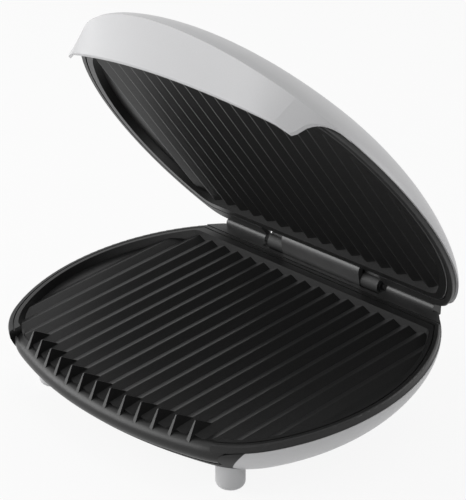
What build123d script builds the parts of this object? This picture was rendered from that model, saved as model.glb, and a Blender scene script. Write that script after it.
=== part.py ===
from build123d import *
from math import asin, atan2, cos, degrees, dist, radians, sin, sqrt
import os

# Electric indoor grill with a hinged lid, shown with the lid open.
# Everything is drawn flat in the frame of the cooking surface: X to the right, Y towards
# the rear from the line of the front corners, Z square to the surface, 0 at the base's rim.
# BASE then tilts the base to its slope, and LID opens the lid about the hinge rod.

# ---- driving dimensions, millimetres and degrees ----
SLOPE = 9.8  # the cooking surface falls towards the front
RIM_HEIGHT = 73.0  # middle of the rim plane above the table
LID_OPEN = 62.0  # lid angle in the rest pose
DEPTH = 250.0  # front corner line to the rear edge
PITCH = 18.0  # spacing of the cooking ribs
ORIGIN_Y = -2.138  # moves the origin to the middle of the object's footprint box

# Plan outline of the base: three tangent arcs each side, given as centre and radius.
FRONT_C, FRONT_R = (0.0, 435.0), 450.0
CORNER_C = (98.5, 83.5)
SIDE_C = (36.0, 125.0)
CORNER_R = FRONT_R - dist(FRONT_C, CORNER_C)
SIDE_R = CORNER_R + dist(CORNER_C, SIDE_C)

# Base bowl
BAND = 6.5  # height of the black rim band above the silver bowl
BOWL_DROP = 38.5
BOWL_INSET = 44.0
SCREW_R = 1.45
SKIN = 2.4  # wall of the moulded housings

# Lower plate
PLATE_REAR = 238.0
POCKET_REAR = 226.0
PLATE_BOTTOM = -12.5
CREST = -3.7
VALLEY = -7.0
CREST_ROUND = 2.2
BEAD_OUTER, GROOVE, BEAD_INNER, WALL_TOP, WALL_FOOT = 0.6, 4.8, 5.9, 9.5, 12.0
RIB_LIMIT = 7  # ribs run from -7 to +7 pitches and shorter ones beside them

# Front lip of the lower plate, with its food stops
NOSE_R = 8.3
NOSE_INSET = 12.1
NOSE_Z = -14.1
NOSE_WALL = 3.2
LIP_EDGE = 13.2  # inset of the lip's rear edge
LIP_TOP = NOSE_Z + NOSE_R
LIP_HALF = 134.0  # half width of the lowered front
LIP_ROUND = 16.0  # radius of the corner where the lip meets the bowl
STOP_COUNT = 6  # stops stand on ribs -6 to +6
STOP_FRONT, STOP_PEAK, STOP_REAR = 10.5, 17.5, 37.0  # insets of a stop's three corners
STOP_TOP = 6.0
STOP_FOOT_HALF, STOP_PEAK_HALF = 1.9, 0.5

# Hinge
HINGE_Y, HINGE_Z = 252.5, 1.5
ROD_R = 4.0
ROD_HALF = 73.0
RUNNING = 0.06  # radial play of the rod
TOWER_HALF = 49.0
BARREL_R = 9.0
FLOAT = 8.0  # travel of the rod in the tower's slot
TOWER_LOW = -27.0
ARM_IN, ARM_OUT = 49.9, 69.5
KNUCKLE_R = 8.5
NOTCH_HALF = 74.0
NOTCH_Y = 241.5
RELIEF_R = 17.8  # lid cut back round the hinge line

# Lid
LID_GAP = 0.4  # closed lid above the base's rim
LID_SIDE_R = 163.0
LID_FRONT_C = (0.0, 160.7)
LID_FRONT_R = LID_SIDE_R + dist(LID_FRONT_C, SIDE_C)
LID_REAR = 247.0
LID_CORNER_R = 40.0
CREASE_Z = 4.4  # lower edge of the lid's silver shell
DOME_HEIGHT = 42.3
DOME_INSET = 107.0
DOME_STEPS = 8
DOME_PLAN_POWER, DOME_RISE_POWER = 1.143, 1.48  # of the dome's superelliptic profile
LID_SKIN = 2.5
UPPER_REAR = 234.0
LINER_OUT, LINER_IN = -0.9, 4.3
BORDER_OUT, BORDER_IN, BORDER_FOOT = 5.1, 12.6, 14.2
UPPER_VALLEY = 7.2
UPPER_CREST = 3.8
UPPER_TOP = 12.5

# Visor handle on the lid's front
VISOR_LOW = -19.0
VISOR_INNER, VISOR_OUTER = -1.0, -4.0  # insets of the lip's two faces: outside the base
VISOR_TIP = 134.0
VISOR_ARCH_R = 26.0
VISOR_SHIFT = 4.2  # depth of the sloping wall, measured square to the rim

# Heaters, seen in plan as one M-shaped tube
HEATER_R = 3.3
HEATER_BEND = 15.0

# Feet
FRONT_FOOT = (119.3, -83.3)  # X, and Y from the middle of the rim plane
REAR_FOOT = (97.0, 76.0)
FOOT_R = 11.7
FOOT_ROUND = 6.0
PAD_R = 5.0
PAD_PROUD = 0.8

BASE = Pos(0, ORIGIN_Y, RIM_HEIGHT) * Rot(X=SLOPE) * Pos(0, -DEPTH / 2, 0)
LID = BASE * Pos(0, HINGE_Y, HINGE_Z) * Rot(X=-LID_OPEN) * Pos(0, -HINGE_Y, -HINGE_Z)


# ---- outlines ----
def polar(centre, radius, angle):
    return (centre[0] + radius * cos(radians(angle)), centre[1] + radius * sin(radians(angle)))


def arc(centre, radius, start, end):
    middle = (start + end) / 2
    return ThreePointArc(*(polar(centre, radius, a) for a in (start, middle, end)))


def bearing(a, b):
    return degrees(atan2(b[1] - a[1], b[0] - a[0]))


FRONT_END = bearing(FRONT_C, CORNER_C)  # where the front arc meets the corner arc
CORNER_END = bearing(SIDE_C, CORNER_C)  # where the corner arc meets the side arc
LID_FRONT_END = bearing(LID_FRONT_C, SIDE_C)


def closed(front, right, rear_corner_r=0.0):
    """Face from the front edge and the right half's edges, mirrored to the left."""
    left = [mirror(edge, about=Plane.YZ) for edge in right]
    rear = Line(right[-1] @ 1, left[-1] @ 1)
    face = make_face([front] + right + [rear] + left)
    if rear_corner_r:
        corners = face.vertices().sort_by(Axis.Y)[-2:]
        face = fillet(corners, rear_corner_r)
    return face


def tray(inset, rear=DEPTH, rear_corner_r=0.0):
    """The base's plan outline, moved inwards by inset, ending at the line Y = rear."""
    side_r = SIDE_R - inset
    rear_angle = degrees(asin((rear - SIDE_C[1]) / side_r))
    front = arc(FRONT_C, FRONT_R - inset, -180 - FRONT_END, FRONT_END)
    corner = arc(CORNER_C, CORNER_R - inset, FRONT_END, CORNER_END)
    side = arc(SIDE_C, side_r, CORNER_END, rear_angle)
    return closed(front, [corner, side], rear_corner_r)


def lid_outline(inset):
    """The lid's plan outline: the front bulges past the base and the rear corners are round."""
    side_r = LID_SIDE_R - inset
    rear = LID_REAR - inset
    corner_r = LID_CORNER_R - inset / 4
    reach = side_r - corner_r
    rise = rear - corner_r - SIDE_C[1]
    corner = (SIDE_C[0] + sqrt(reach**2 - rise**2), rear - corner_r)
    front = arc(LID_FRONT_C, LID_FRONT_R - inset, -180 - LID_FRONT_END, LID_FRONT_END)
    turn = bearing(SIDE_C, corner)
    side = arc(SIDE_C, side_r, LID_FRONT_END, turn)
    return closed(front, [side, arc(corner, corner_r, turn, 90)])


def slab(face, low, high):
    return extrude(Pos(0, 0, low) * face, high - low, dir=(0, 0, 1))


def block(x, y, z):
    """Box from its (low, high) pairs."""
    centre = [(low + high) / 2 for low, high in (x, y, z)]
    return Pos(*centre) * Box(x[1] - x[0], y[1] - y[0], z[1] - z[0])


def along_x(radius, y, z, x):
    """Cylinder along X through (y, z), between a pair of X values."""
    return Pos((x[0] + x[1]) / 2, y, z) * Rot(Y=90) * Cylinder(radius, x[1] - x[0])


def both_sides(shape):
    return [shape, mirror(shape, about=Plane.YZ)]


# ---- base housing ----
def bowl_levels():
    """Inset and height of the bowl's sections, from its rim to its flat floor."""
    for s in (0, 0.04, 0.13, 0.28, 0.5, 0.75, 1):
        yield s * BOWL_INSET, -BAND - BOWL_DROP * (1 - (1 - s) ** 1.5) ** (1 / 1.5)


def bowl(skin=0.0):
    sections = [
        Pos(0, 0, z + skin) * tray(inset + skin, DEPTH - inset - skin, 7.0)
        for inset, z in bowl_levels()
    ]
    return loft(sections)


BOWL_FLOOR = -BAND - BOWL_DROP


def lip_zone(gap):
    """Space in front that the plate's lip fills: wide below the band, with round lower corners."""
    half = LIP_HALF + LIP_ROUND
    low = -BAND - LIP_ROUND - gap
    zone = block((-half, half), (-60, 60), (low, 5))
    for side in (-1, 1):
        zone -= Pos(side * half, 0, -BAND - LIP_ROUND) * Rot(X=90) * Cylinder(LIP_ROUND - gap, 200)
    return zone


def base_shell():
    shell = bowl() - bowl(SKIN) - slab(tray(SKIN, DEPTH - SKIN, 5), -BAND - 1, 0)
    shell -= slab(tray(BOWL_INSET + 12, 188), BOWL_FLOOR - 1, BOWL_FLOOR + SKIN + 1)
    shell -= lip_zone(0.3)
    shell -= block((-TOWER_HALF, TOWER_HALF), (PLATE_REAR, 270), (TOWER_LOW, 0))
    shell -= block((-NOTCH_HALF, NOTCH_HALF), (NOTCH_Y, 270), (-8.4, 0))
    shell -= Pos(GLAND_X, DEPTH, GLAND_Z) * Rot(X=90) * Cylinder(GLAND_R + 0.1, 60)
    for x, y in cover_screw_places():
        shell += slab(Pos(x, y) * Circle(3.6), BOWL_FLOOR, BOWL_FLOOR + 9)
        shell -= slab(Pos(x, y) * Circle(1.45), BOWL_FLOOR, BOWL_FLOOR + 8)
    return shell


def cover_screw_places():
    """Seven screws on the flange round the bowl's opening."""
    inset = BOWL_INSET + 7
    corner = polar(CORNER_C, CORNER_R - inset, -60)
    side = polar(SIDE_C, SIDE_R - inset, 20)
    right = [corner, side, (60, 194)]
    return right + [(-x, y) for x, y in right] + [(0, FRONT_C[1] - FRONT_R + inset)]


GLAND_X, GLAND_Z, GLAND_R = -92.0, -24.0, 6.0
COVER_T = 2.0


def base_cover():
    cover = slab(tray(BOWL_INSET + 2, 200, 8), BOWL_FLOOR - COVER_T, BOWL_FLOOR)
    vent = SlotOverall(34, 4)
    for x in (-60, 60):
        for row in range(6):
            cover -= slab(Pos(x, 75 + 14 * row) * vent, BOWL_FLOOR - COVER_T, BOWL_FLOOR)
    for x, y in cover_screw_places():
        cover -= Pos(x, y, BOWL_FLOOR) * Cylinder(1.8, 12)
    return cover


def screw(length, head_r=3.2, head_h=1.8, shank_r=SCREW_R):
    """Pan-head screw, pointing up from the seat of its head at the origin."""
    head = Pos(0, 0, -head_h / 2) * Cylinder(head_r, head_h)
    cross = Box(head_r * 1.2, 0.7, 1.4) + Box(0.7, head_r * 1.2, 1.4)
    return head - Pos(0, 0, -head_h) * cross + Pos(0, 0, length / 2) * Cylinder(shank_r, length)


def cover_screws():
    return [Pos(x, y, BOWL_FLOOR - COVER_T) * screw(9) for x, y in cover_screw_places()]


# ---- lower plate ----
def wave(crest, valley, base, phase=0.0):
    """Cross-section of the ribs in X and Z: a triangular wave with rounded crests."""
    count = 2 * RIB_LIMIT + 5
    points = [(-(count + 1) / 2 * PITCH, valley)]
    for n in range(count):
        x = (n - count // 2) * PITCH
        points += [(x, crest), (x + PITCH / 2, valley)]
    points[0] = (points[1][0] - PITCH / 2, valley)
    ends = [(points[-1][0], base), (points[0][0], base)]
    face = Pos(phase) * make_face(Polyline(*points, *ends, close=True))
    crests = [v for v in face.vertices() if abs(v.Y - crest) < 0.01]
    return fillet(crests, CREST_ROUND)


def ribs(crest, valley, base, limit, phase=0.0):
    profile = Plane.XZ * wave(crest, valley, base, phase)
    run = Pos(0, 280) * extrude(profile, 320)
    return run & slab(limit, -30, 30)


def nose_profile(radius):
    """Section of the front lip as a hollow half-round hook, drawn at its radius from the arc's centre."""
    x = radius - NOSE_INSET
    r_in = NOSE_R - NOSE_WALL
    outer = ThreePointArc((x, NOSE_Z + NOSE_R), (x + NOSE_R, NOSE_Z), (x, NOSE_Z - NOSE_R))
    inner = ThreePointArc((x, NOSE_Z - r_in), (x + r_in, NOSE_Z), (x, NOSE_Z + r_in))
    edge = radius - LIP_EDGE
    back = edge - 7
    route = Polyline(inner @ 1, (edge - 2, PLATE_BOTTOM), (back, PLATE_BOTTOM), (back, VALLEY),
                     (edge - 1.4, VALLEY), (edge, LIP_TOP), outer @ 0)
    return make_face([outer, Line(outer @ 1, inner @ 0), inner, route])


def spin(profile, centre, start, end):
    """Revolve a section drawn in X and Z about a vertical axis, between two bearings."""
    turned = revolve(Plane.XZ * profile, Axis.Z, end - start)
    return Pos(*centre) * Rot(Z=start) * turned


def front_lip():
    front = spin(nose_profile(FRONT_R), FRONT_C, -180 - FRONT_END, FRONT_END)
    corner = spin(nose_profile(CORNER_R), CORNER_C, FRONT_END, -46)
    lip = front
    for part in both_sides(corner):
        lip += part
    return lip & lip_zone(0)


def food_stop(n):
    """Upright triangular stop on the front end of rib n, thick at its foot."""
    x = n * PITCH
    def front_y(inset):
        return FRONT_C[1] - sqrt((FRONT_R - inset) ** 2 - x**2)
    foot_z = VALLEY - 1
    foot = Polyline((-STOP_FOOT_HALF, 0), (STOP_FOOT_HALF, 0), (0.3, STOP_REAR - STOP_FRONT),
                    (-0.3, STOP_REAR - STOP_FRONT), close=True)
    lean = STOP_PEAK - STOP_FRONT
    top = Rectangle(2 * STOP_PEAK_HALF, 0.8)
    body = loft([Pos(x, front_y(STOP_FRONT), foot_z) * make_face(foot),
                 Pos(x, front_y(STOP_FRONT) + lean + 0.4, STOP_TOP) * top], ruled=True)
    return body


def lower_plate():
    plate = slab(tray(BEAD_OUTER, PLATE_REAR), -BAND, 0)
    plate = fillet(plate.edges().filter_by_position(Axis.Z, -0.1, 0.1), 1.8)
    plate += slab(tray(6.5, PLATE_REAR - 2), PLATE_BOTTOM, -BAND)
    groove = slab(tray(GROOVE, PLATE_REAR - 4.2), -1.4, 1) - slab(tray(BEAD_INNER, PLATE_REAR - 5.3), -2, 2)
    plate -= groove
    # lowered front between the corners
    half = LIP_HALF + 12
    dropped = block((-half, half), (-60, 60), (LIP_TOP, 5))
    for side in (-1, 1):
        dropped -= Pos(side * half, 0, LIP_TOP) * Rot(X=90) * Cylinder(12, 200)
    plate -= dropped - slab(tray(LIP_EDGE), -60, 60)
    front = block((-LIP_HALF, LIP_HALF), (-60, 60), (-60, 5)) - slab(tray(NOSE_INSET), -80, 60)
    plate -= front
    pocket = loft([Pos(0, 0, VALLEY) * tray(WALL_FOOT, POCKET_REAR - 2, 8),
                   Pos(0, 0, 0.01) * tray(WALL_TOP, POCKET_REAR, 10)], ruled=True)
    lip_wall = Pos(*FRONT_C, 0) * Cylinder(FRONT_R - LIP_EDGE, 60)
    plate -= pocket & lip_wall
    inner = tray(WALL_FOOT - 0.5, POCKET_REAR)
    rib_field = ribs(CREST, VALLEY, VALLEY - 2, inner)
    rib_field &= Pos(*FRONT_C, 0) * Cylinder(FRONT_R - LIP_EDGE - 0.2, 60)
    plate += rib_field
    plate += front_lip()
    for n in range(-STOP_COUNT, STOP_COUNT + 1):
        plate += food_stop(n)
    for x, y in PLATE_BOSSES:
        plate += slab(Pos(x, y) * Circle(BOSS_R), BOSS_LOW, PLATE_BOTTOM)
    plate = drilled(plate, PLATE_BOSSES, SCREW_R, BOSS_LOW, 10)
    small = clamp_screw_places() + thermostat_screw_places()
    return drilled(plate, small, SMALL_SCREW_R, PLATE_BOTTOM, 1.6)


PLATE_BOSSES = [(x, y) for x in (-88, 88) for y in (70, 192)]  # the same places on both plates
BOSS_R = 4.5
BOSS_LOW = -28.0


# ---- heaters and what goes with them ----
def heater(z, end_y):
    """Bent tube in plan: two ends at the rear, a run down each side and a loop in the middle."""
    right = [(16, end_y), (16, 178), (135, 178), (135, 48), (62, 48), (62, 150)]
    left = [(-x, y) for x, y in reversed(right)]
    route = FilletPolyline(*[(x, y, z) for x, y in right + left], radius=HEATER_BEND)
    section = Plane(route @ 0, z_dir=route % 0) * Circle(HEATER_R)
    return sweep(section, path=route)


LOWER_HEATER_Z = PLATE_BOTTOM - HEATER_R
UPPER_HEATER_Z = UPPER_TOP + HEATER_R
LOWER_HEATER_END, UPPER_HEATER_END = 222.0, 200.0
CLAMPS = [(-135, 115), (135, 115), (-62, 95), (62, 95)]
CLAMP_SCREW_X = 9.6
THERMOSTAT_Y, THERMOSTAT_SCREW_X = 118.0, 13.4
SMALL_SCREW_R = 1.2


def clamp_screw_places():
    return [(x + end * CLAMP_SCREW_X, y) for x, y in CLAMPS for end in (-1, 1)]


def thermostat_screw_places():
    return [(-THERMOSTAT_SCREW_X, THERMOSTAT_Y), (THERMOSTAT_SCREW_X, THERMOSTAT_Y)]


def drilled(body, places, radius, z, depth):
    """Blind or through holes, square to the plates, reaching depth either way from z."""
    for x, y in places:
        body -= Pos(x, y, z) * Cylinder(radius, 2 * depth)
    return body


def heater_clamps(z, side):
    """Saddles over the tube, screwed to the plate; side is -1 below a plate and +1 above it."""
    clamps = []
    face = z - side * HEATER_R
    for x, y in CLAMPS:
        saddle = Pos(x, y, z) * Rot(X=90) * Cylinder(HEATER_R + 1.2, 12)
        saddle &= Pos(x, y, face + side * 5) * Box(30, 12, 10)
        for end in (-1, 1):
            saddle += Pos(x + end * 8, y, face + side * 0.6) * Box(9, 12, 1.2)
        saddle -= Pos(x, y, z) * Rot(X=90) * Cylinder(HEATER_R, 14)
        saddle -= Pos(x, y, z - side * HEATER_R / 2) * Box(2 * HEATER_R, 14, HEATER_R)
        ears = [(x - CLAMP_SCREW_X, y), (x + CLAMP_SCREW_X, y)]
        clamps.append(drilled(saddle, ears, SMALL_SCREW_R, face, 3))
    return clamps


def heater_terminals(z, end_y):
    """Ceramic end seals with their flat blades, on the tube's two ends."""
    ends = []
    for x in (-16, 16):
        seal = Pos(x, end_y + 3, z) * Rot(X=90) * Cylinder(HEATER_R - 0.2, 6)
        ends.append(seal + Pos(x, end_y + 9, z) * Box(5.4, 8, 0.8))
    return ends


REFLECTOR_DEPTH = 9.8
SHEET = 0.8


def reflector(face, side, rear):
    """Shallow sheet tray whose edge stands against the plate's back and throws the heat at it."""
    floor = face + side * REFLECTOR_DEPTH
    low, high = sorted((face, floor + side * SHEET))
    in_low, in_high = sorted((face, floor))
    pan = slab(tray(26, rear, 12), low, high) - slab(tray(26 + SHEET, rear - SHEET, 12 - SHEET), in_low, in_high)
    for x in (-16, 16):
        pan -= Pos(x, rear, face + side * 4) * Box(14, 20, 10)
    return drilled(pan, PLATE_BOSSES, BOSS_R + 0.3, floor, 3)


def lower_reflector():
    pan = reflector(PLATE_BOTTOM, -1, 215)
    return pan - Pos(0, THERMOSTAT_Y, PLATE_BOTTOM - REFLECTOR_DEPTH) * Cylinder(12, 6)


def thermostat(z, side):
    """Disc thermostat pressed on the plate's back, with two blades."""
    body = Pos(0, THERMOSTAT_Y, z + side * 4.5) * Cylinder(10, 9)
    body += Pos(0, THERMOSTAT_Y, z + side * 0.6) * Box(34, 8, 1.2)
    for x in (-5, 5):
        body += Pos(x, THERMOSTAT_Y, z + side * 11) * Box(0.8, 6.3, 4)
    return drilled(body, thermostat_screw_places(), SMALL_SCREW_R, z, 3)


def thermal_fuse(z, side):
    """Fuse in its sleeve, held in a clip on the plate's back."""
    body = Pos(30, 164, z + side * 3) * Rot(Y=90) * Cylinder(3, 26)
    clip = Pos(30, 164, z + side * 0.5) * Box(12, 14, 1)
    return body + clip


def ear_screws(z, side, places):
    """Small screws that hold the heater clamps and the thermostat."""
    turn = Rot(X=180) if side > 0 else Rot(X=0)
    small = turn * screw(2.6, 2.4, 1.4, SMALL_SCREW_R)
    return [Pos(x, y, z + side * 1.2) * small for x, y in places]


# ---- base fittings ----
def plate_screws():
    """Long screws up through the bottom shell's pillars into the plate's bosses."""
    screws = []
    for x, y in PLATE_BOSSES:
        screws.append(Pos(x, y, PILLAR_SEAT) * screw(BOSS_LOW - PILLAR_SEAT + 8))
    return screws


PILLAR_SEAT = -37.5


BRIDGES = [(70, 130.0), (192, 113.0)]  # Y of each cross bar and its half length


def plate_bridge():
    """Two cross bars inside the bowl that the plate's bosses stand on."""
    bars = []
    for y, half in BRIDGES:
        across = (y - 7, y + 7)
        bar = block((-half, half), across, (BOSS_LOW - 2, BOSS_LOW))
        bar += block((half - 2, half), across, (BOWL_FLOOR + SKIN, BOSS_LOW))
        bar += block((-half, 2 - half), across, (BOWL_FLOOR + SKIN, BOSS_LOW))
        for bx, by in PLATE_BOSSES:
            if by == y:
                bar += Pos(bx, by, (PILLAR_SEAT + BOSS_LOW) / 2) * Cylinder(5, BOSS_LOW - PILLAR_SEAT)
        bars.append(drilled(bar, PLATE_BOSSES, SCREW_R + 0.3, BOSS_LOW, 20))
    return bars


def terminal_block():
    floor = BOWL_FLOOR + SKIN
    body = block((-46, -14), (189.5, 201.5), (floor, floor + 11.5))
    for x in (-38, -30, -22):
        body -= Pos(x, 195.5, floor + 10) * Cylinder(2.2, 6)
        body -= Pos(x, 195.5, floor + 4) * Rot(X=90) * Cylinder(1.6, 30)
    return body


def cord_gland():
    """Bush in the rear wall that the supply cord passes through."""
    gland = Pos(GLAND_X, 236, GLAND_Z) * Rot(X=90) * Cylinder(GLAND_R, 26)
    gland += Pos(GLAND_X, 248.2, GLAND_Z) * Rot(X=90) * Cylinder(GLAND_R + 2.5, 3)
    return gland - Pos(GLAND_X, 236, GLAND_Z) * Rot(X=90) * Cylinder(3.4, 60)


def rear_deck():
    """Black strip behind the plate, with a tongue that drops inside the bottom housing's rear wall."""
    deck = slab(tray(BEAD_OUTER, DEPTH, 7), -BAND, 0)
    deck -= block((-250, 250), (-90, PLATE_REAR + 0.2), (-60, 60))
    deck -= block((-NOTCH_HALF, NOTCH_HALF), (NOTCH_Y, 300), (-60, 60))
    tongue = slab(tray(7.5, 243.2), -BAND - 5.5, -BAND)
    tongue -= block((-250, 250), (-90, 240.6), (-60, 60))
    tongue -= block((-NOTCH_HALF - 3, NOTCH_HALF + 3), (200, 300), (-60, 60))
    return deck + tongue


def hinge_tower():
    """Block between the lid's arms, with the slot that lets the hinge rod rise."""
    top = HINGE_Z + FLOAT
    x = (-TOWER_HALF, TOWER_HALF)
    tower = along_x(BARREL_R, HINGE_Y, HINGE_Z, x) + along_x(BARREL_R, HINGE_Y, top, x)
    tower += block(x, (HINGE_Y - BARREL_R, HINGE_Y + BARREL_R), (HINGE_Z, top))
    side = Polyline((HINGE_Y - BARREL_R, HINGE_Z), (HINGE_Y + BARREL_R, HINGE_Z), (HINGE_Y + BARREL_R, -10),
                    (249, TOWER_LOW), (HINGE_Y - BARREL_R, TOWER_LOW), close=True)
    profile = Plane.YZ * make_face(side)
    tower += Pos(-TOWER_HALF) * extrude(profile, 2 * TOWER_HALF)
    tower += block(x, (PLATE_REAR + 0.2, HINGE_Y - BARREL_R + 1), (TOWER_LOW, -BAND))
    slot = along_x(ROD_R + RUNNING, HINGE_Y, HINGE_Z, (-90, 90))
    slot += along_x(ROD_R + RUNNING, HINGE_Y, top, (-90, 90))
    slot += block((-90, 90), (HINGE_Y - ROD_R - RUNNING, HINGE_Y + ROD_R + RUNNING), (HINGE_Z, top))
    return tower - slot


# ---- hinge rod ----
def hinge_rod():
    rod = along_x(ROD_R, HINGE_Y, HINGE_Z, (-ROD_HALF, ROD_HALF))
    rod = chamfer(rod.edges(), 0.6)
    for x in (ARM_OUT + 0.1, -ARM_OUT - 1.3):
        groove = along_x(ROD_R + 1, HINGE_Y, HINGE_Z, (x, x + 1.2))
        rod -= groove - along_x(ROD_R - 0.8, HINGE_Y, HINGE_Z, (x, x + 1.2))
    return rod


def rod_clips():
    clips = []
    for x in (ARM_OUT + 0.15, -ARM_OUT - 1.25):
        ring = along_x(6.5, HINGE_Y, HINGE_Z, (x, x + 1.1)) - along_x(ROD_R - 0.8, HINGE_Y, HINGE_Z, (x, x + 1.1))
        ring -= Pos(x + 0.5, HINGE_Y, HINGE_Z + 5) * Box(3, 5, 9)
        clips.append(ring)
    return clips


def friction_washers():
    washers = []
    for x in (TOWER_HALF + 0.05, -TOWER_HALF - 0.8):
        ring = along_x(7.5, HINGE_Y, HINGE_Z, (x, x + 0.75))
        washers.append(ring - along_x(ROD_R, HINGE_Y, HINGE_Z, (x, x + 0.75)))
    return washers


# ---- lid ----
def dome(skin):
    """Solid dome over the lid's outline, moved inwards all round by skin."""
    sections = []
    for step in range(DOME_STEPS + 1):
        turn = radians(90 * step / DOME_STEPS)
        inset = DOME_INSET * (1 - cos(turn) ** DOME_PLAN_POWER)
        z = CREASE_Z + (DOME_HEIGHT - skin) * sin(turn) ** DOME_RISE_POWER
        sections.append(Pos(0, 0, z) * lid_outline(inset + skin))
    return loft(sections)


def hinge_relief():
    return along_x(RELIEF_R, HINGE_Y, HINGE_Z, (-NOTCH_HALF, NOTCH_HALF))


LAMP_XY = (0.0, 60.0)


def lid_shell():
    shell = dome(0) - dome(LID_SKIN) - hinge_relief()
    return shell - Pos(*LAMP_XY, CREASE_Z + DOME_HEIGHT) * Cylinder(5, 20)


def visor_floor(inset):
    """Plan of the visor's lower edge: a flatter front arc with a corner at each end."""
    ends = 121.0
    middle = FRONT_C[1] - FRONT_R + inset
    drop = 14.0
    front = ThreePointArc((-ends, middle + drop), (0, middle), (ends, middle + drop))
    side_r = SIDE_R - inset
    tip = polar(CORNER_C, CORNER_R - inset, -58)
    cheek = Line(front @ 1, tip)
    side_end = polar(SIDE_C, side_r, 0)
    side = ThreePointArc(tip, polar(SIDE_C, side_r, -20), side_end)
    return closed(front, [cheek, side])


def visor_crease():
    front_x = 127.5
    c, r = LID_FRONT_C, LID_FRONT_R
    half = degrees(asin(front_x / r))
    front = arc(c, r, -90 - half, -90 + half)
    cheek = arc(c, r, -90 + half, LID_FRONT_END)
    side = arc(SIDE_C, LID_SIDE_R, LID_FRONT_END, 0)
    return closed(front, [cheek, side])


def visor():
    """Front handle: a sloping face under the lid's rim with a lip that hangs before the base."""
    wedge = loft([Pos(0, 0, VISOR_LOW) * visor_floor(VISOR_OUTER), Pos(0, 0, CREASE_Z) * visor_crease()],
                 ruled=True)
    handle = wedge - slab(tray(VISOR_INNER), VISOR_LOW - 1, CREASE_Z + 1)
    hollow = Pos(0, 0, VISOR_SHIFT) * wedge - slab(tray(VISOR_OUTER), VISOR_LOW - 1, CREASE_Z + 9)
    handle -= hollow
    arch_x = VISOR_TIP + VISOR_ARCH_R
    arch_z = CREASE_Z - VISOR_ARCH_R
    for side in (-1, 1):
        outer = sorted((side * arch_x, side * 250))
        handle -= Pos(side * arch_x, 0, arch_z) * Rot(X=90) * Cylinder(VISOR_ARCH_R, 400)
        handle -= block(outer, (-100, 300), (-60, CREASE_Z + 1))
    return handle & block((-200, 200), (-100, 60), (-40, 20))


def lid_liner():
    """Dark frame between the shell and the upper plate."""
    liner = slab(tray(LINER_OUT, LID_REAR - 1, 30), LID_GAP, CREASE_Z)
    liner = fillet(liner.edges().filter_by_position(Axis.Z, LID_GAP - 0.1, LID_GAP + 0.1), 1.2)
    liner -= slab(tray(LINER_IN, UPPER_REAR + 0.8, 26), LID_GAP - 1, CREASE_Z + 1)
    return liner - hinge_relief()


def upper_plate():
    plate = slab(tray(BORDER_OUT, UPPER_REAR, 26), LID_GAP, 6)
    plate = fillet(plate.edges().filter_by_position(Axis.Z, LID_GAP - 0.1, LID_GAP + 0.1), 1.2)
    plate += slab(tray(BORDER_OUT + 6, UPPER_REAR - 6, 20), 6, UPPER_TOP)
    pocket = loft([Pos(0, 0, LID_GAP - 0.01) * tray(BORDER_IN, UPPER_REAR - 8, 18),
                   Pos(0, 0, UPPER_VALLEY) * tray(BORDER_FOOT, UPPER_REAR - 10, 16)], ruled=True)
    plate -= pocket
    limit = tray(BORDER_FOOT - 0.6, UPPER_REAR - 9.5, 16)
    plate += ribs(UPPER_CREST, UPPER_VALLEY, UPPER_VALLEY + 2, limit, PITCH / 2)
    for x, y in PLATE_BOSSES:
        plate += slab(Pos(x, y) * Circle(BOSS_R), UPPER_TOP, LID_BOSS_TOP)
    plate = drilled(plate, clamp_screw_places(), SMALL_SCREW_R, UPPER_TOP, 1.6)
    return drilled(plate, ARM_SCREWS, SCREW_R, UPPER_TOP, 4)


LID_BOSS_TOP = 27.0
ARM_SCREWS = [(x, y) for x in (-59.7, 59.7) for y in (209, 221)]


def lid_pillars():
    """Pillars under the dome that the upper plate's bosses are screwed to."""
    pillars = []
    inside = dome(LID_SKIN)
    for x, y in PLATE_BOSSES:
        pillar = slab(Pos(x, y) * Circle(6), LID_BOSS_TOP, 60) & inside
        pillars.append(pillar)
    return pillars


def hinge_arm():
    """Cast arm: a knuckle round the rod and a cranked leg screwed down on the upper plate's back."""
    leg = Polyline((HINGE_Y + 5, HINGE_Z + 6.8), (236, 10.2), (228.6, 15.9), (204, 15.9), (204, UPPER_TOP),
                   (228.4, UPPER_TOP), (228.4, 6.6), (243, 5.2), (HINGE_Y - 3, HINGE_Z - 7.9), close=True)
    profile = Plane.YZ * make_face(leg)
    arm = Pos(ARM_IN) * extrude(profile, ARM_OUT - ARM_IN)
    arm += along_x(KNUCKLE_R, HINGE_Y, HINGE_Z, (ARM_IN, ARM_OUT))
    arm -= along_x(ROD_R + RUNNING, HINGE_Y, HINGE_Z, (ARM_IN - 1, ARM_OUT + 1))
    return drilled(arm, ARM_SCREWS, SCREW_R, UPPER_TOP, 6)


def arm_screws():
    seat = 15.9
    return [Pos(x, y, seat) * Rot(X=180) * screw(7) for x, y in ARM_SCREWS]


def lamp_lens():
    top = CREASE_Z + DOME_HEIGHT
    lens = Pos(*LAMP_XY, top - 1) * Cylinder(4.9, 3.4)
    return fillet(lens.edges().sort_by(Axis.Z)[-1:], 1.2)


def pilot_lamp():
    top = CREASE_Z + DOME_HEIGHT
    return Pos(*LAMP_XY, top - 6.7) * Cylinder(3.2, 8)


# ---- feet, upright in the world ----
def foot(x, y, height):
    body = Pos(x, y + ORIGIN_Y, PAD_PROUD + height / 2) * Cylinder(FOOT_R, height)
    body = fillet(body.edges().sort_by(Axis.Z)[:1], FOOT_ROUND)
    body -= BASE * (bowl() + slab(tray(BOWL_INSET + 1.9, 200.1), BOWL_FLOOR - 2.1, BOWL_FLOOR))
    recess = Pos(x, y + ORIGIN_Y, 1) * Cylinder(PAD_R + 0.05, 3)
    return body - recess


def feet(place, height):
    return [foot(x, place[1], height) for x in (-place[0], place[0])]


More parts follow.
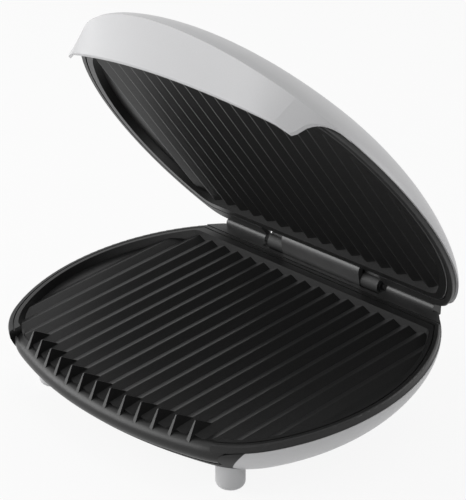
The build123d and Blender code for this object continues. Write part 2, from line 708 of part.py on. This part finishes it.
def foot_pads():
    pads = []
    for x, y in (FRONT_FOOT, REAR_FOOT):
        for side in (-1, 1):
            pads.append(Pos(side * x, y + ORIGIN_Y, 1.25) * Cylinder(PAD_R, 2.5))
    return pads


def write(name, shape, place=None):
    pieces = [s for item in (shape if isinstance(shape, list) else [shape]) for s in item.solids()]
    if place is not None:
        pieces = [place * piece for piece in pieces]
    body = pieces[0] if len(pieces) == 1 else Compound(children=pieces)
    export_step(body, f"parts/{name}.step")
    box = body.bounding_box()
    print(f"{name:20s} {len(pieces):2d} solids  min {box.min}  max {box.max}")
    return box


def main():
    os.makedirs("parts", exist_ok=True)
    lower_places = clamp_screw_places() + thermostat_screw_places()
    boxes = [
        write("base_shell", base_shell(), BASE),
        write("base_cover", base_cover(), BASE),
        write("cover_screws", cover_screws(), BASE),
        write("lower_plate", lower_plate(), BASE),
        write("lower_heater", heater(LOWER_HEATER_Z, LOWER_HEATER_END), BASE),
        write("lower_heater_terminals", heater_terminals(LOWER_HEATER_Z, LOWER_HEATER_END), BASE),
        write("lower_heater_clamps", heater_clamps(LOWER_HEATER_Z, -1), BASE),
        write("lower_reflector", lower_reflector(), BASE),
        write("thermostat", thermostat(PLATE_BOTTOM, -1), BASE),
        write("thermal_fuse", thermal_fuse(PLATE_BOTTOM, -1), BASE),
        write("lower_clamp_screws", ear_screws(PLATE_BOTTOM, -1, lower_places), BASE),
        write("plate_bridge", plate_bridge(), BASE),
        write("plate_screws", plate_screws(), BASE),
        write("terminal_block", terminal_block(), BASE),
        write("cord_gland", cord_gland(), BASE),
        write("rear_deck", rear_deck(), BASE),
        write("hinge_tower", hinge_tower(), BASE),
        write("front_feet", feet(FRONT_FOOT, 34)),
        write("rear_feet", feet(REAR_FOOT, 60)),
        write("foot_pads", foot_pads()),
        write("hinge_rod", hinge_rod(), BASE),
        write("rod_clips", rod_clips(), BASE),
        write("friction_washers", friction_washers(), BASE),
        write("hinge_arms", both_sides(hinge_arm()), LID),
        write("arm_screws", arm_screws(), LID),
        write("lid_shell", lid_shell(), LID),
        write("visor_handle", visor(), LID),
        write("lid_liner", lid_liner(), LID),
        write("upper_plate", upper_plate(), LID),
        write("upper_heater", heater(UPPER_HEATER_Z, UPPER_HEATER_END), LID),
        write("upper_heater_terminals", heater_terminals(UPPER_HEATER_Z, UPPER_HEATER_END), LID),
        write("upper_heater_clamps", heater_clamps(UPPER_HEATER_Z, 1), LID),
        write("upper_clamp_screws", ear_screws(UPPER_TOP, 1, clamp_screw_places()), LID),
        write("upper_reflector", reflector(UPPER_TOP, 1, 186), LID),
        write("lid_pillars", lid_pillars(), LID),
        write("lamp_lens", lamp_lens(), LID),
        write("pilot_lamp", pilot_lamp(), LID),
    ]
    low = [min(getattr(b.min, a) for b in boxes) for a in "XYZ"]
    high = [max(getattr(b.max, a) for b in boxes) for a in "XYZ"]
    print("whole box", [round(v, 2) for v in low], [round(v, 2) for v in high])
    print("middle of Y", round((low[1] + high[1]) / 2, 3))


if __name__ == "__main__":
    main()
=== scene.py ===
from math import cos, hypot, pi, radians, sin, sqrt

import bmesh
import bpy
from mathutils import Matrix, Vector


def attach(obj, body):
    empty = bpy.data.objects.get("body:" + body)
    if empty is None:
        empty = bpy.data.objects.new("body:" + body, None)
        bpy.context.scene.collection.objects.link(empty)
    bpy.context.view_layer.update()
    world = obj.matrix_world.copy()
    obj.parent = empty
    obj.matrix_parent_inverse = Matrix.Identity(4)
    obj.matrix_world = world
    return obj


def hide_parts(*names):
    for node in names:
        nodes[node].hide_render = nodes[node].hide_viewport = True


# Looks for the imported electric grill: materials, a few closer-fitting pieces, floor, light and camera.
# The scene is in metres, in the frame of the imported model. The pieces are worked out in millimetres.

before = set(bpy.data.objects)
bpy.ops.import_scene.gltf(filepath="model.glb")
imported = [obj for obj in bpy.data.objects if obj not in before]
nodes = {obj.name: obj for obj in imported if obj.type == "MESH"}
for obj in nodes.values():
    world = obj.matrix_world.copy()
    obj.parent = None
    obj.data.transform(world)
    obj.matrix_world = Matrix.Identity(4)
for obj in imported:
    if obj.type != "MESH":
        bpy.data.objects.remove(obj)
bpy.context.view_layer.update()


# ---- the part's own frames: millimetres, X right, Y to the rear from the front corner line, Z up ----
SLOPE = radians(9.8)
LID_OPEN = radians(62.0)
ORIGIN_Y, RIM_HEIGHT, DEPTH = -2.138, 73.0, 250.0
HINGE_Y, HINGE_Z = 252.5, 1.5
FRONT_C, FRONT_R = (0.0, 435.0), 450.0
CORNER_C = (98.5, 83.5)
CORNER_R = FRONT_R - hypot(FRONT_C[0] - CORNER_C[0], FRONT_C[1] - CORNER_C[1])
SIDE_C = (36.0, 125.0)
LID_SIDE_R = 163.0
LID_FRONT_C = (0.0, 160.7)
LID_FRONT_R = LID_SIDE_R + hypot(SIDE_C[0], SIDE_C[1] - LID_FRONT_C[1])
CREASE_Z = 4.4


def in_base(x, y, z):
    """World point, in metres, of a point of the base's frame."""
    along, across = y - DEPTH / 2, z
    return Vector((x, ORIGIN_Y + along * cos(SLOPE) - across * sin(SLOPE),
                   RIM_HEIGHT + along * sin(SLOPE) + across * cos(SLOPE))) / 1000


def in_lid(x, y, z):
    """World point of a point of the closed lid's frame, with the lid open as at rest."""
    back, high = y - HINGE_Y, z - HINGE_Z
    return in_base(x, HINGE_Y + back * cos(LID_OPEN) + high * sin(LID_OPEN),
                   HINGE_Z - back * sin(LID_OPEN) + high * cos(LID_OPEN))


# ---- camera, at the photograph's angle ----
CAMERA_AT = Vector((1.0643, -0.8720, 0.673))
BACKWARDS = Vector((0.715, -0.597, 0.362)).normalized()
LENS_MM = 130.3

camera = bpy.data.objects.new("camera", bpy.data.cameras.new("camera"))
bpy.context.scene.collection.objects.link(camera)
right = Vector((0, 0, 1)).cross(BACKWARDS).normalized()
up = BACKWARDS.cross(right)
turn = Matrix((right, up, BACKWARDS)).transposed().to_4x4()
camera.matrix_world = Matrix.Translation(CAMERA_AT) @ turn
camera.data.sensor_width = 36.0
camera.data.lens = LENS_MM
camera.data.clip_end = 20.0
bpy.context.scene.camera = camera


# ---- materials ----
class Tree:
    """Node tree of one material, with short calls for the nodes that every finish uses."""

    def __init__(self, name):
        self.material = bpy.data.materials.new(name)
        self.material.use_nodes = True
        self.nodes = self.material.node_tree.nodes
        self.links = self.material.node_tree.links
        self.shader = self.nodes["Principled BSDF"]
        self.where = self.nodes.new("ShaderNodeTexCoord").outputs["Object"]

    def noise(self, size, detail=3.0, roughness=0.55, stretch=(1, 1, 1)):
        """Noise whose grains are about size metres across."""
        place = self.nodes.new("ShaderNodeMapping")
        place.inputs["Scale"].default_value = stretch
        self.links.new(self.where, place.inputs["Vector"])
        node = self.nodes.new("ShaderNodeTexNoise")
        node.inputs["Scale"].default_value = 1.0 / size
        node.inputs["Detail"].default_value = detail
        node.inputs["Roughness"].default_value = roughness
        self.links.new(place.outputs[0], node.inputs["Vector"])
        return node.outputs["Fac"]

    def ramp(self, value, low, high, start=0.35, end=0.65):
        """Colour that goes from low to high as the value goes from start to end."""
        node = self.nodes.new("ShaderNodeValToRGB")
        node.color_ramp.elements[0].position = start
        node.color_ramp.elements[0].color = (*low, 1)
        node.color_ramp.elements[1].position = end
        node.color_ramp.elements[1].color = (*high, 1)
        self.links.new(value, node.inputs["Fac"])
        return node.outputs["Color"]

    def spread(self, value, low, high, start=0.3, end=0.7):
        """Number that goes from low to high as the value goes from start to end."""
        node = self.nodes.new("ShaderNodeMapRange")
        node.inputs["From Min"].default_value = start
        node.inputs["From Max"].default_value = end
        node.inputs["To Min"].default_value = low
        node.inputs["To Max"].default_value = high
        self.links.new(value, node.inputs["Value"])
        return node.outputs["Result"]

    def math(self, operation, first, second=None):
        """One arithmetic node, whose operands are sockets or numbers."""
        node = self.nodes.new("ShaderNodeMath")
        node.operation = operation
        for index, value in enumerate((first, second)):
            if hasattr(value, "is_linked"):
                self.links.new(value, node.inputs[index])
            elif value is not None:
                node.inputs[index].default_value = value
        return node.outputs[0]

    def bump(self, height, strength, depth):
        node = self.nodes.new("ShaderNodeBump")
        node.inputs["Strength"].default_value = strength
        node.inputs["Distance"].default_value = depth
        self.links.new(height, node.inputs["Height"])
        self.links.new(node.outputs["Normal"], self.shader.inputs["Normal"])

    def set(self, **values):
        """Link or write values to the shader's sockets of the same names."""
        for name, value in values.items():
            socket = self.shader.inputs[name.replace("_", " ")]
            if hasattr(value, "is_linked"):
                self.links.new(value, socket)
            else:
                socket.default_value = value


def grey(value, blue=0.0):
    return (value, value, value + blue)


FLAKES = (grey(0.56, 0.008), grey(0.6, 0.008), 0.3, 0.7)
FLAKE_SIZE, FLAKE_METAL = 0.0004, 0.1
LACQUER_ROUGH = (0.4, 0.46)
LACQUER_COAT, LACQUER_COAT_ROUGH, LACQUER_GLOSS = 0.12, 0.22, 0.3
PEEL = (0.004, 0.02, 0.0001)  # orange-peel: size, strength, depth
LIP_BLACK, LIP_DULLER = 0.008, 0.15
LIP_END = ((0.137, -0.028), (0.166, 0.004))  # metres, side and height: the slant where the silver begins
LIP_SOFT = 0.0003
MIX_FIRST, MIX_SECOND = 6, 7  # colour sockets of a Mix node


def silver_lacquer():
    """Silver paint under clear lacquer: fine metal flakes and a faint orange-peel."""
    t = Tree("silver_lacquer")
    t.set(Base_Color=t.ramp(t.noise(FLAKE_SIZE, 2.0), *FLAKES), Metallic=FLAKE_METAL)
    t.set(Roughness=t.spread(t.noise(0.03), *LACQUER_ROUGH), Coat_Weight=LACQUER_COAT)
    t.set(Coat_Roughness=LACQUER_COAT_ROUGH, Specular_IOR_Level=LACQUER_GLOSS)
    size, strength, depth = PEEL
    t.bump(t.noise(size, 1.0), strength, depth)
    return t.material


def past_lip_end(t):
    """1 where the bowl is black, under and beside the ends of the plate's lip, and 0 on its silver."""
    split = t.nodes.new("ShaderNodeSeparateXYZ")
    t.links.new(t.where, split.inputs[0])
    side = t.math("ABSOLUTE", split.outputs["X"])
    height = t.math("ADD", t.math("MULTIPLY", split.outputs["Y"], -sin(SLOPE)),
                    t.math("MULTIPLY", split.outputs["Z"], cos(SLOPE)))
    rim = ORIGIN_Y / 1000 * -sin(SLOPE) + RIM_HEIGHT / 1000 * cos(SLOPE)
    (low_x, low_z), (high_x, high_z) = LIP_END
    edge = t.spread(side, rim + low_z, rim + high_z, low_x, high_x)
    edge = t.math("SUBTRACT", edge, t.math("LESS_THAN", side, low_x))
    return t.spread(t.math("SUBTRACT", height, edge), 0.0, 1.0, -LIP_SOFT, LIP_SOFT)


def base_silver():
    """The silver bowl, black round the ends of the plate's lip, where the lip's colour runs on."""
    t = Tree("base_silver")
    dark = past_lip_end(t)
    lacquered = t.math("SUBTRACT", 1.0, dark)
    mix = t.nodes.new("ShaderNodeMix")
    mix.data_type = "RGBA"
    t.links.new(dark, mix.inputs["Factor"])
    t.links.new(t.ramp(t.noise(FLAKE_SIZE, 2.0), *FLAKES), mix.inputs[MIX_FIRST])
    mix.inputs[MIX_SECOND].default_value = (*grey(LIP_BLACK), 1)
    rough = t.math("ADD", t.spread(t.noise(0.03), *LACQUER_ROUGH), t.math("MULTIPLY", dark, LIP_DULLER))
    t.set(Base_Color=mix.outputs[2], Roughness=rough)
    t.set(Metallic=t.math("MULTIPLY", lacquered, FLAKE_METAL))
    t.set(Coat_Weight=t.math("MULTIPLY", lacquered, LACQUER_COAT))
    t.set(Coat_Roughness=LACQUER_COAT_ROUGH, Specular_IOR_Level=LACQUER_GLOSS)
    size, strength, depth = PEEL
    t.bump(t.noise(size, 1.0), strength, depth)
    return t.material


def plate_coating(name, gloss, dull_wall=False):
    """Dark non-stick coating, sprayed on cast metal: fine grain with a soft sheen.

    With dull_wall, faces that look up on the open lid are duller, where the spray settled dry."""
    t = Tree(name)
    tone = t.ramp(t.noise(0.0011, 4.0), grey(0.008), grey(0.014), 0.4, 0.62)
    rough = t.spread(t.noise(0.0016, 4.0), 0.33, 0.43)
    if dull_wall:
        split = t.nodes.new("ShaderNodeSeparateXYZ")
        t.links.new(t.nodes.new("ShaderNodeTexCoord").outputs["Normal"], split.inputs[0])
        rough = t.math("MAXIMUM", rough, t.spread(split.outputs["Z"], 0.0, 1.0, 0.0, 0.3))
    t.set(Base_Color=tone, Roughness=rough, Specular_IOR_Level=gloss)
    t.bump(t.noise(0.0009, 3.0), 0.2, 0.0001)
    return t.material


def moulded_plastic(name, low, high, rough=(0.38, 0.48)):
    """Spark-grained moulding."""
    t = Tree(name)
    t.set(Base_Color=t.ramp(t.noise(0.012), grey(low), grey(high)))
    t.set(Roughness=t.spread(t.noise(0.001), *rough))
    t.bump(t.noise(0.0006, 2.0), 0.2, 0.00008)
    return t.material


def plain_metal(name, low, high, rough=(0.25, 0.4)):
    """Rolled or plated metal with fine lengthwise marks."""
    t = Tree(name)
    t.set(Base_Color=t.ramp(t.noise(0.002, stretch=(0.1, 1, 1)), grey(low), grey(high)))
    t.set(Metallic=0.9, Roughness=t.spread(t.noise(0.0015, stretch=(0.15, 1, 1)), *rough))
    t.bump(t.noise(0.0008, stretch=(0.1, 1, 1)), 0.08, 0.00005)
    return t.material


def tinted(name, low, high, rough, transmission=0.0):
    """Coloured ceramic, sleeve or lens, with slightly uneven gloss."""
    t = Tree(name)
    t.set(Base_Color=t.ramp(t.noise(0.004), low, high))
    t.set(Roughness=t.spread(t.noise(0.002), rough, rough + 0.08))
    t.set(Transmission_Weight=transmission)
    t.bump(t.noise(0.0015, 1.0), 0.05, 0.00005)
    return t.material


silver = silver_lacquer()
two_tone = base_silver()
coating = plate_coating("lower_coating", 0.32)
upper_coating = plate_coating("upper_coating", 0.6, True)
dark_moulding = moulded_plastic("dark_moulding", 0.016, 0.022)
hinge_moulding = moulded_plastic("hinge_moulding", 0.04, 0.05, (0.34, 0.42))
steel = plain_metal("plated_steel", 0.52, 0.62)
# Hinge rod and clips: steel coloured near black, painted shade of the shadowed gaps beside the hinge tower.
gap_shade_steel = plain_metal("steel_painted_gap_shade", 0.015, 0.025, (0.5, 0.65))
# Hinge arms and friction washers: near black, painted shade of the shadowed hinge gaps.
arm_painted_gap_shade = moulded_plastic("arm_painted_gap_shade", 0.006, 0.01, (0.55, 0.7))
heater_skin = plain_metal("oxidised_tube", 0.2, 0.3, (0.4, 0.55))
sheet = plain_metal("bright_sheet", 0.68, 0.76, (0.2, 0.3))
ceramic = tinted("ceramic", (0.72, 0.69, 0.62), (0.78, 0.76, 0.7), 0.6)
sleeve = tinted("woven_sleeve", (0.6, 0.57, 0.48), (0.7, 0.67, 0.58), 0.7)
rubber = moulded_plastic("rubber_pad", 0.02, 0.03, (0.6, 0.75))
lens = tinted("lamp_lens", (0.42, 0.02, 0.015), (0.5, 0.03, 0.02), 0.08)
lamp = tinted("pilot_lamp", (0.8, 0.4, 0.25), (0.85, 0.5, 0.3), 0.05, 0.6)

FINISHES = {
    silver: ["lid_shell", "front_feet", "rear_feet"],
    two_tone: ["base_shell"],
    coating: ["lower_plate"],
    upper_coating: ["upper_plate"],
    dark_moulding: ["lid_liner", "rear_deck", "base_cover", "cord_gland", "lid_pillars"],
    arm_painted_gap_shade: ["hinge_arms", "friction_washers"],
    hinge_moulding: ["hinge_tower"],
    gap_shade_steel: ["hinge_rod", "rod_clips"],
    steel: ["cover_screws", "plate_screws", "arm_screws", "lower_clamp_screws",
            "upper_clamp_screws", "lower_heater_clamps", "upper_heater_clamps", "plate_bridge"],
    heater_skin: ["lower_heater", "upper_heater"],
    sheet: ["lower_reflector", "upper_reflector"],
    ceramic: ["lower_heater_terminals", "upper_heater_terminals", "thermostat", "terminal_block"],
    sleeve: ["thermal_fuse"],
    rubber: ["foot_pads"],
    lens: ["lamp_lens"],
    lamp: ["pilot_lamp"],
}

for finish, names in FINISHES.items():
    for name in names:
        node = nodes[name]
        node.data.materials.clear()
        node.data.materials.append(finish)


# ---- pieces that the photograph shows more exactly than their CAD nodes ----
def piece(name, points, faces, body, finish, sharp=radians(35), folds=()):
    """Closed mesh from world points, smooth but for its sharp edges and folds, riding on a body."""
    mesh = bpy.data.meshes.new(name)
    mesh.from_pydata(points, [], faces)
    work = bmesh.new()
    work.from_mesh(mesh)
    bmesh.ops.recalc_face_normals(work, faces=work.faces)
    work.to_mesh(mesh)
    work.free()
    for polygon in mesh.polygons:
        polygon.use_smooth = True
    mesh.set_sharp_from_angle(angle=sharp)
    for edge in mesh.edges:
        if tuple(sorted(edge.vertices)) in folds:
            edge.use_edge_sharp = True
    made = bpy.data.objects.new(name, mesh)
    bpy.context.scene.collection.objects.link(made)
    made.data.materials.append(finish)
    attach(made, body)
    return made


def tube_faces(rings, size):
    """Quads between neighbouring rings of the same size, with a cap at each end."""
    faces = []
    for ring in range(rings - 1):
        for k in range(size):
            a, b = ring * size + k, ring * size + (k + 1) % size
            faces.append((a, b, b + size, a + size))
    last = (rings - 1) * size
    return faces + [tuple(range(size)), tuple(range(last, last + size))]


def arc_y(centre, radius, x):
    """Place along Y of an arc's front side."""
    return centre[1] - sqrt(radius**2 - (x - centre[0]) ** 2)


# Visor: its top edge follows the lid's outline and its lip stands before the base's outline.
VISOR_LIP_Z = -19.0
FOLD_TOP, FOLD_LIP = 131.5, 125.5  # where the front face turns into the cheeks
TIP_X, ARCH_R = 139.5, 26.0
LIP_OUT, LIP_WALL = 4.0, 3.0
LIP_MIDDLE_Y, LIP_RISE = -19.0, 14.5  # the lip's front arc: its middle and how far its ends fall back
CHEEK_END_X = 146.0  # where the cheek's lip joins the arc beside the base's corner
TOP_OVERLAP = 0.2
CUT_STEPS, LEAST_SHARE = 200, 0.02
FRONT_STEPS, CHEEK_STEPS = 24, 22
CHEEK_STEP = (1.6, 1.75)  # along the top edge and along the lip


def visor_top(x):
    """Upper edge, on the lid's outline: its front arc, then its side arc."""
    turn = SIDE_C[0] * LID_FRONT_R / (LID_FRONT_R - LID_SIDE_R)
    if x <= turn:
        return (x, arc_y(LID_FRONT_C, LID_FRONT_R, x))
    return (x, arc_y(SIDE_C, LID_SIDE_R, x))


def visor_lip(x, shift):
    """Lower edge: the front arc as far as the fold, then the cheek beside the base's corner."""
    radius = (FOLD_LIP**2 + LIP_RISE**2) / (2 * LIP_RISE)
    if x <= FOLD_LIP:
        return (x, LIP_MIDDLE_Y + radius - sqrt(radius**2 - x**2) + shift)
    reach = CORNER_R + LIP_OUT - shift
    start = (FOLD_LIP, LIP_MIDDLE_Y + LIP_RISE + shift)
    end = (CHEEK_END_X, arc_y(CORNER_C, reach, CHEEK_END_X))
    if x <= end[0]:
        part = (x - start[0]) / (end[0] - start[0])
        return (x, start[1] + part * (end[1] - start[1]))
    return (x, arc_y(CORNER_C, reach, x))


def arch_z(x):
    """Lowest height that the visor reaches at x: it ends in a quarter-round arch."""
    if x <= TIP_X:
        return VISOR_LIP_Z
    if x >= TIP_X + ARCH_R:
        return CREASE_Z
    return CREASE_Z - ARCH_R + sqrt(ARCH_R**2 - (TIP_X + ARCH_R - x) ** 2)


def visor_section(top_x, lip_x):
    """Four corners of the visor's section, cut off above the arch."""
    top, outer, inner = visor_top(top_x), visor_lip(lip_x, 0.0), visor_lip(lip_x, LIP_WALL)
    drop = CREASE_Z - VISOR_LIP_Z
    for step in range(CUT_STEPS + 1):
        share = step / CUT_STEPS
        x = top[0] + share * (outer[0] - top[0])
        if CREASE_Z - share * drop <= arch_z(x):
            break
    share = max(share, LEAST_SHARE)
    z = CREASE_Z - share * drop
    low = [top[k] + share * (outer[k] - top[k]) for k in (0, 1)]
    return [(*top, CREASE_Z + TOP_OVERLAP), (*low, z),
            (low[0], max(low[1] + LIP_WALL, inner[1]), z),
            (inner[0], max(inner[1], top[1] + LIP_WALL), CREASE_Z + TOP_OVERLAP)]


def visor():
    """Front face and two cheeks as one closed band, mirrored about the middle."""
    half = [(FOLD_TOP * k / FRONT_STEPS, FOLD_LIP * k / FRONT_STEPS) for k in range(FRONT_STEPS + 1)]
    half += [(FOLD_TOP + k * CHEEK_STEP[0], FOLD_LIP + k * CHEEK_STEP[1]) for k in range(1, CHEEK_STEPS + 1)]
    rings = [visor_section(*pair) for pair in half]
    mirrored = [[(-x, y, z) for x, y, z in ring] for ring in rings[:0:-1]]
    rings = mirrored + rings
    points = [in_lid(*p) for ring in rings for p in ring]
    turns = [len(mirrored) - FRONT_STEPS, len(mirrored) + FRONT_STEPS]
    folds = {(4 * ring, 4 * ring + 1) for ring in turns}
    made = piece("visor", points, tube_faces(len(rings), 4), "lid", silver,
                 radians(20), folds)
    bevel = made.modifiers.new("edge", "BEVEL")
    bevel.width = 0.0008
    bevel.segments = 2
    bevel.limit_method = "ANGLE"
    bevel.angle_limit = radians(25)
    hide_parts("visor_handle")


visor()

# Food stops: upright fins on the front ends of the ribs, leaning back from the lip.
PITCH = 18.0
STOP_INSETS = (6.8, 10.4, 37.3)  # foot: front, shoulder, rear
STOP_WIDTHS = (2.0, 2.0, 0.4)  # half widths at those places
STOP_TOP_INSET, STOP_TOP_Z, STOP_FOOT_Z = 17.3, 6.15, -8.3
RIDGE_HALF, RIDGE_BACK = 0.55, (0.0, 0.4, 1.2)


def food_stops():
    points, faces = [], []
    for n in range(-6, 7):
        x = n * PITCH
        front = [FRONT_C[1] - sqrt((FRONT_R - inset) ** 2 - x**2) for inset in STOP_INSETS]
        top = FRONT_C[1] - sqrt((FRONT_R - STOP_TOP_INSET) ** 2 - x**2)
        foot = list(zip(STOP_WIDTHS, front))
        ridge = [(RIDGE_HALF, top + back) for back in RIDGE_BACK]
        start = len(points)
        for half, z in ((foot, STOP_FOOT_Z), (ridge, STOP_TOP_Z)):
            ring = [(-width, y) for width, y in half] + half[::-1]
            points += [in_base(x + side, y, z) for side, y in ring]
        faces += [tuple(start + k for k in face) for face in tube_faces(2, 6)]
    piece("food_stops", points, faces, "base", coating, radians(20))


food_stops()

# Rolled rear edge of the base, concentric with the hinge line, that closes the gap under the open lid.
ROLL_R = 5.0
ROLL_ENDS = (77.5, 131.0)
ROLL_SEAT = ((-4.7, -6.0), (3.5, -6.0))  # feet of its section: to the rear of the hinge line, and height


def rear_roll():
    arc = [radians(a) for a in range(-20, 201, 10)]
    section = [(HINGE_Y + ROLL_R * cos(a), HINGE_Z + ROLL_R * sin(a)) for a in arc]
    section += [(HINGE_Y + back, z) for back, z in ROLL_SEAT]
    for side, name in ((-1, "rear_roll_left"), (1, "rear_roll_right")):
        points = [in_base(side * x, y, z) for x in ROLL_ENDS for y, z in section]
        piece(name, points, tube_faces(2, len(section)), "base", dark_moulding)


rear_roll()

# Boot that fills the space between the cord inlet's flange and the sloping rear wall.
INLET = (-92.0, -24.0)
BOOT_RINGS = ((234.0, 8.9), (247.0, 8.2))  # place to the rear, and radius
BOOT_SIDES = 32


def inlet_boot():
    turns = [2 * pi * k / BOOT_SIDES for k in range(BOOT_SIDES)]
    points = [in_base(INLET[0] + radius * cos(a), y, INLET[1] + radius * sin(a))
              for y, radius in BOOT_RINGS for a in turns]
    piece("inlet_boot", points, tube_faces(2, BOOT_SIDES), "base", dark_moulding)


inlet_boot()


# ---- floor, backdrop colour and light ----
GROUND_SHARE = 0.9  # how much of the ground's own white is seen, over its shadow
AMBIENT = 0.3


def floor_material():
    """White floor that keeps the object's shadow; the camera sees it almost evenly lit."""
    t = Tree("floor")
    t.set(Base_Color=t.ramp(t.noise(0.2), grey(0.86), grey(0.88)), Roughness=0.9, Specular_IOR_Level=0.1)
    glow = t.nodes.new("ShaderNodeEmission")
    glow.inputs["Color"].default_value = (1, 1, 1, 1)
    path = t.nodes.new("ShaderNodeLightPath")
    seen = t.math("MAXIMUM", path.outputs["Is Camera Ray"], path.outputs["Is Glossy Ray"])
    seen = t.math("MAXIMUM", seen, path.outputs["Is Transmission Ray"])
    mix = t.nodes.new("ShaderNodeMixShader")
    t.links.new(t.math("MULTIPLY", seen, GROUND_SHARE), mix.inputs["Fac"])
    t.links.new(t.shader.outputs[0], mix.inputs[1])
    t.links.new(glow.outputs[0], mix.inputs[2])
    t.links.new(mix.outputs[0], t.nodes["Material Output"].inputs["Surface"])
    return t.material


bpy.ops.mesh.primitive_plane_add(size=16.0, location=(0, 0, -0.0002))
floor = bpy.context.object
floor.name = "floor"
floor.data.materials.append(floor_material())


def softbox(name, at, size, watts, aim=(0, 0, 0.15)):
    """Area lamp that faces the middle of the object."""
    data = bpy.data.lights.new(name, "AREA")
    data.shape = "RECTANGLE"
    data.size, data.size_y = size
    data.energy = watts
    light = bpy.data.objects.new(name, data)
    light.location = at
    light.rotation_euler = (Vector(aim) - Vector(at)).to_track_quat("-Z", "Y").to_euler()
    bpy.context.scene.collection.objects.link(light)


softbox("key", (-1.75, -1.65, 1.0), (2.4, 1.5), 52)
softbox("front_fill", (1.6, -2.2, 1.0), (1.6, 1.2), 8)
softbox("top", (0.2, 0.3, 2.4), (1.8, 1.8), 8)
softbox("rear_fill", (1.2, 2.3, 1.3), (1.6, 1.2), 12)

world = bpy.data.worlds.new("studio")
world.use_nodes = True
bpy.context.scene.world = world
tree = world.node_tree
soft = tree.nodes["Background"]
soft.inputs["Color"].default_value = (1, 1, 1, 1)
soft.inputs["Strength"].default_value = AMBIENT
white = tree.nodes.new("ShaderNodeBackground")
white.inputs["Color"].default_value = (1, 1, 1, 1)
white.inputs["Strength"].default_value = 1.0
path = tree.nodes.new("ShaderNodeLightPath")
seen = path.outputs["Is Camera Ray"]
for ray in ("Is Glossy Ray", "Is Transmission Ray"):
    either = tree.nodes.new("ShaderNodeMath")
    either.operation = "MAXIMUM"
    tree.links.new(seen, either.inputs[0])
    tree.links.new(path.outputs[ray], either.inputs[1])
    seen = either.outputs[0]
mix = tree.nodes.new("ShaderNodeMixShader")
tree.links.new(seen, mix.inputs["Fac"])
tree.links.new(soft.outputs[0], mix.inputs[1])
tree.links.new(white.outputs[0], mix.inputs[2])
tree.links.new(mix.outputs[0], tree.nodes["World Output"].inputs["Surface"])

bpy.context.scene.view_settings.view_transform = "Standard"
